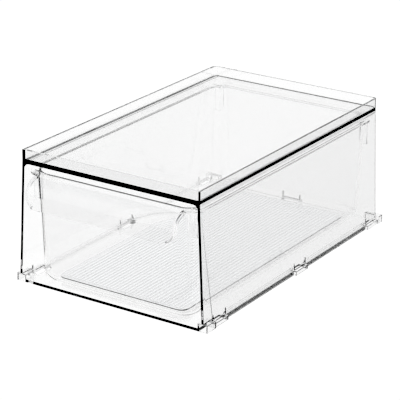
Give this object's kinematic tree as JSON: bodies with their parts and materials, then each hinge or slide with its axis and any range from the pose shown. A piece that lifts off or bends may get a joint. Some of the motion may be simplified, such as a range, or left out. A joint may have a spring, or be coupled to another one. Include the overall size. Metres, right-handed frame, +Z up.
{
  "type": "fridge storage drawer unit",
  "caption": "Clear stackable fridge bin: an open-fronted case with a snap-in base, a pull-out drawer with a rolled handle lip, and a ribbed liner.",
  "frame": {"origin": "on the ground, in the middle of the bounding box in plan", "axes": "+Z up, +X to the right seen from the front, -Y the way the drawer pulls out"},
  "size_m": [0.2194, 0.3596, 0.136],
  "materials": {
    "case_clear": "crystal clear moulded plastic, polished",
    "base_clear": "crystal clear moulded plastic, polished",
    "drawer_clear": "crystal clear moulded plastic, polished",
    "liner_clear": "clear ribbed plastic, softly frosted by its ribs"
  },
  "bodies": {
    "case": {"case_shell": "case_clear", "base_panel": "base_clear"},
    "drawer": {"drawer": "drawer_clear"},
    "liner": {"drawer_liner": "liner_clear"}
  },
  "joints": [
    {"name": "drawer_slide", "type": "slide", "parent": "case", "child": "drawer", "axis": [0, -1, 0], "range_m": [0, 0.25]},
    {"name": "liner_lift", "type": "slide", "parent": "drawer", "child": "liner", "axis": [0, 0, 1], "range_m": [0, 0.11]}
  ]
}
